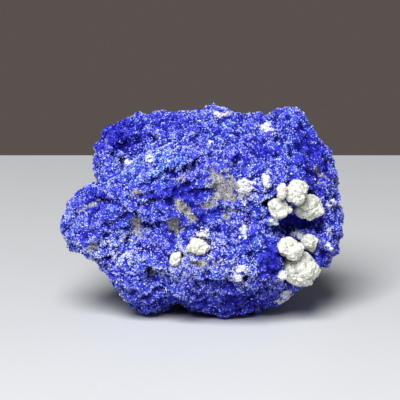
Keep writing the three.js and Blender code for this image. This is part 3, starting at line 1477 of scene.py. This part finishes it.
        # Painted highlights: a share of crystals made paler to stand for glints.
        painted_glints = self.random.random(kind.count) < shades.painted_glints * (1.0 - shades.dulled * deep)
        tones[painted_glints] += self.random.uniform(*shades.painted_glint_lift, painted_glints.sum())
        tints = shades.tint + shades.light_tint * light + blotches(points, shades.tint_blotches)
        tints -= shades.deep_tint * deep
        sizes = kind.sizes(self.random)
        order = np.argsort(np.arctan2(points[:, 0], -points[:, 1]))
        made = []
        for number, part in enumerate(np.array_split(order, self.pieces), start=1):
            name = f"{kind.piece}_{number}"
            grains = Grains(kind, skin.only(part), sizes[part], tones[part], tints[part], name)
            made.append(grains.build(shapes, self.random))
        return made

    def shade_pale(self, skin: Skin) -> tuple[np.ndarray, np.ndarray]:
        """Shades the white, lavender and faintly pink grains among the crystals.

        Args:
            skin: A place for each grain.

        Returns:
            Their tones and tints.
        """
        in_frost, on_chalk = self.pale_gain
        tones = self.pale_grain.tones(self.random)
        tones += np.maximum(in_frost * strongest(FROST_ZONES, skin.places), on_chalk * skin.chalk)
        # Painted shade and painted light: pale grains darker in crevices and paler on tops.
        tones -= self.pale_grain.crevice_shade * (skin.hollow - 0.5)
        return tones, self.random.uniform(0.0, 0.5, len(tones)) ** 2

    def shade_sand(self, skin: Skin) -> tuple[np.ndarray, np.ndarray]:
        """Shades the sandy grains of the bare matrix, by the places given."""
        # Painted shade and painted light: sand grains darker in crevices and paler on tops.
        tones = self.sand_grain.tones(self.random) - self.sand_grain.crevice_shade * (skin.hollow - 0.5)
        return tones, self.random.random(len(tones))

    def shade_crumbs(self, skin: Skin) -> tuple[np.ndarray, np.ndarray]:
        """Shades the crumbs of clay stuck to the crystals, pinkish on the crown."""
        on_crown = strongest(PINK_ZONES, skin.places) > 0.1
        return self.crumb.tones(self.random), np.where(on_crown, *self.crumb_tints)


# ---- Clay ----


@dataclass
class ClayKnob:
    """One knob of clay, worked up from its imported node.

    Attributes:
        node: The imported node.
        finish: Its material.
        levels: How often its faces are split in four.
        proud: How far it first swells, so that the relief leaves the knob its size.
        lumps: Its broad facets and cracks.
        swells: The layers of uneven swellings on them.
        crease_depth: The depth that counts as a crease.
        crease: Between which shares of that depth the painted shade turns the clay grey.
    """

    node: str
    finish: bpy.types.Material
    levels: int = 3
    proud: float = 0.3 * MM
    lumps: Lumps = Lumps(3.0 * MM, height=0.65 * MM, crease=0.10 * MM, warp=0.6, cut=0.04, seed=7.0)
    swells: Layers = (
        (0.24 * MM, 1.3 * MM, 7.5),
        (0.17 * MM, 0.6 * MM, 7.5),
        (0.14 * MM, 0.32 * MM, 7.5),
    )
    crease_depth: float = 0.15 * MM
    crease: tuple[float, float] = (0.2, 1.0)

    def build(self) -> bpy.types.Object:
        """Builds the knob.

        Returns:
            The finished object.
        """
        knob = copy_of_node(self.node, self.node.replace("clay_", ""))
        apply_modifier(knob, "SUBSURF", levels=self.levels, render_levels=self.levels)
        points = read(knob.data.vertices, "co", 3)
        push(knob, self.proud + blotches(points, self.swells) - self.lumps.fall(points))
        # The crease attribute drives the painted shade that greys the clay in its creases.
        creases = hollowness(knob, rounds=30, depth=self.crease_depth)
        store(knob, "crease", smooth_step(creases, *self.crease))
        box_map(knob)
        select_only(knob)
        bpy.ops.object.shade_smooth()
        knob.data.materials.append(self.finish)
        return knob


# ---- The stage ----


@dataclass(frozen=True)
class Lamp:
    """A square lamp, with its place and width in metres and its power in watts."""

    name: str
    place: tuple[float, float, float]
    width: float
    power: float

    def hang(self, aim: Vector) -> None:
        """Hangs the lamp.

        Args:
            aim: The place that it points at.
        """
        data = bpy.data.lights.new(self.name, "AREA")
        data.size, data.energy = self.width, self.power
        lamp = bpy.data.objects.new(self.name, data)
        lamp.location = self.place
        lamp.rotation_euler = (aim - lamp.location).to_track_quat("-Z", "Y").to_euler()
        bpy.context.scene.collection.objects.link(lamp)


@dataclass
class Studio:
    """A pale table, soft light from above, and the camera in front.

    Attributes:
        elevation: How far above the level the camera looks down from, in degrees.
        distance: How far away the camera is.
        field_width: How wide a stretch it sees at the specimen.
        sensor_width: How wide its sensor is, in millimetres.
        table_size: The table's width and depth.
        table_back: How far behind the specimen's middle the table ends.
        lamps: A broad key light from above and a weak fill in front.
        glow: The light from all round.
        wall: The warm dark grey seen behind the table.
        aim: Where the camera and the lamps point.
    """

    elevation: float = 12.0
    distance: float = 0.45
    field_width: float = 80.0 * MM
    sensor_width: float = 36.0
    table_size: tuple[float, float] = (2.4, 1.6)
    table_back: float = 164.0 * MM
    lamps: tuple[Lamp, ...] = (
        Lamp("key", (-0.14, -0.57, 0.62), width=0.44, power=13.8),
        Lamp("fill", (0.45, -0.55, 0.30), width=0.50, power=0.3),
    )
    glow: Colour = (0.061, 0.062, 0.066)
    wall: Colour = (0.10, 0.083, 0.076)
    aim: Vector = field(default_factory=lambda: Vector((-0.7 * MM, 4.6 * MM, 21.5 * MM)))

    def build(self) -> None:
        """Sets the table, the lights, the backdrop and the camera."""
        self.table()
        for lamp in self.lamps:
            lamp.hang(self.aim)
        self.backdrop()
        self.camera()
        bpy.context.scene.view_settings.view_transform = "Standard"

    def table(self) -> None:
        """Makes a pale table top that ends a little behind the specimen."""
        width, depth = self.table_size
        bpy.ops.mesh.primitive_plane_add(size=1.0, location=(0, self.table_back - depth / 2, 0))
        table = bpy.context.active_object
        table.name = "table_top"
        bpy.ops.transform.resize(value=(width, depth, 1.0))
        bpy.ops.object.transform_apply(location=True, scale=True)
        table.data.materials.append(TablePaint().material())
        table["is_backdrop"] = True

    def backdrop(self) -> None:
        """Makes the wall that the camera sees, and the glow that lights the specimen."""
        world = bpy.data.worlds.new("room")
        world.use_nodes = True
        tree = world.node_tree
        path = tree.nodes.new("ShaderNodeLightPath")
        seen = tree.nodes.new("ShaderNodeBackground")
        mix = tree.nodes.new("ShaderNodeMixShader")
        glow = tree.nodes["Background"]
        glow.inputs["Color"].default_value = (*self.glow, 1.0)
        seen.inputs["Color"].default_value = (*self.wall, 1.0)
        tree.links.new(path.outputs["Is Camera Ray"], mix.inputs["Fac"])
        tree.links.new(glow.outputs[0], mix.inputs[1])
        tree.links.new(seen.outputs[0], mix.inputs[2])
        tree.links.new(mix.outputs[0], tree.nodes["World Output"].inputs["Surface"])
        bpy.context.scene.world = world

    def camera(self) -> None:
        """Sets up the camera, in front and a little above."""
        tilt = math.radians(self.elevation)
        back = Vector((0.0, -math.cos(tilt), math.sin(tilt)))
        data = bpy.data.cameras.new("camera")
        data.sensor_width = self.sensor_width
        data.lens = self.sensor_width * self.distance / self.field_width
        camera = bpy.data.objects.new("camera", data)
        camera.location = self.aim + back * self.distance
        camera.rotation_euler = (-back).to_track_quat("-Z", "Y").to_euler()
        bpy.context.scene.collection.objects.link(camera)
        bpy.context.scene.camera = camera


# ---- The whole specimen ----


def adopt(piece: bpy.types.Object, slot: str, *nodes: str) -> None:
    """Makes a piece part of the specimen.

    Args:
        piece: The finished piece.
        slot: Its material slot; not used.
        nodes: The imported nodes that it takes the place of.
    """
    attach(piece, BODY)
    if nodes:
        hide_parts(*nodes)
    LOG.info("%s: %d faces", piece.name, len(piece.data.polygons))


def open_skin(mass: bpy.types.Object, knobs: Sequence[str]) -> Skin:
    """The part of the mass's skin where grains show: off the resting plane and out of the sockets.

    Args:
        mass: The finished mass.
        knobs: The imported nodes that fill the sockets.

    Returns:
        The skin that is left.
    """
    skin = Skin.of(mass)
    lowest = 0.45 * MM
    off_the_base = skin.places[:, 2] > lowest
    outside_knobs = nearness(skin.places, knobs, touching=-0.3 * MM, clear=0.1 * MM) < 0.9
    return skin.only(off_the_base & outside_knobs)


def main() -> None:
    """Builds the specimen and its stage."""
    noise.seed_set(SEED)
    Studio().build()
    knob_nodes = sorted(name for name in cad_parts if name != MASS_NODE)
    mass = AzuriteMass()
    adopt(mass.build(), "azurite", MASS_NODE)
    for piece in Crust(open_skin(mass.obj, knob_nodes)).build():
        adopt(piece, "azurite" if "crystals" in piece.name else "clay")
    clay = ClayFinish().material()
    for node in knob_nodes:
        adopt(ClayKnob(node, clay).build(), "clay", node)


if __name__ == "__main__":
    logging.basicConfig(level=logging.INFO)
    main()
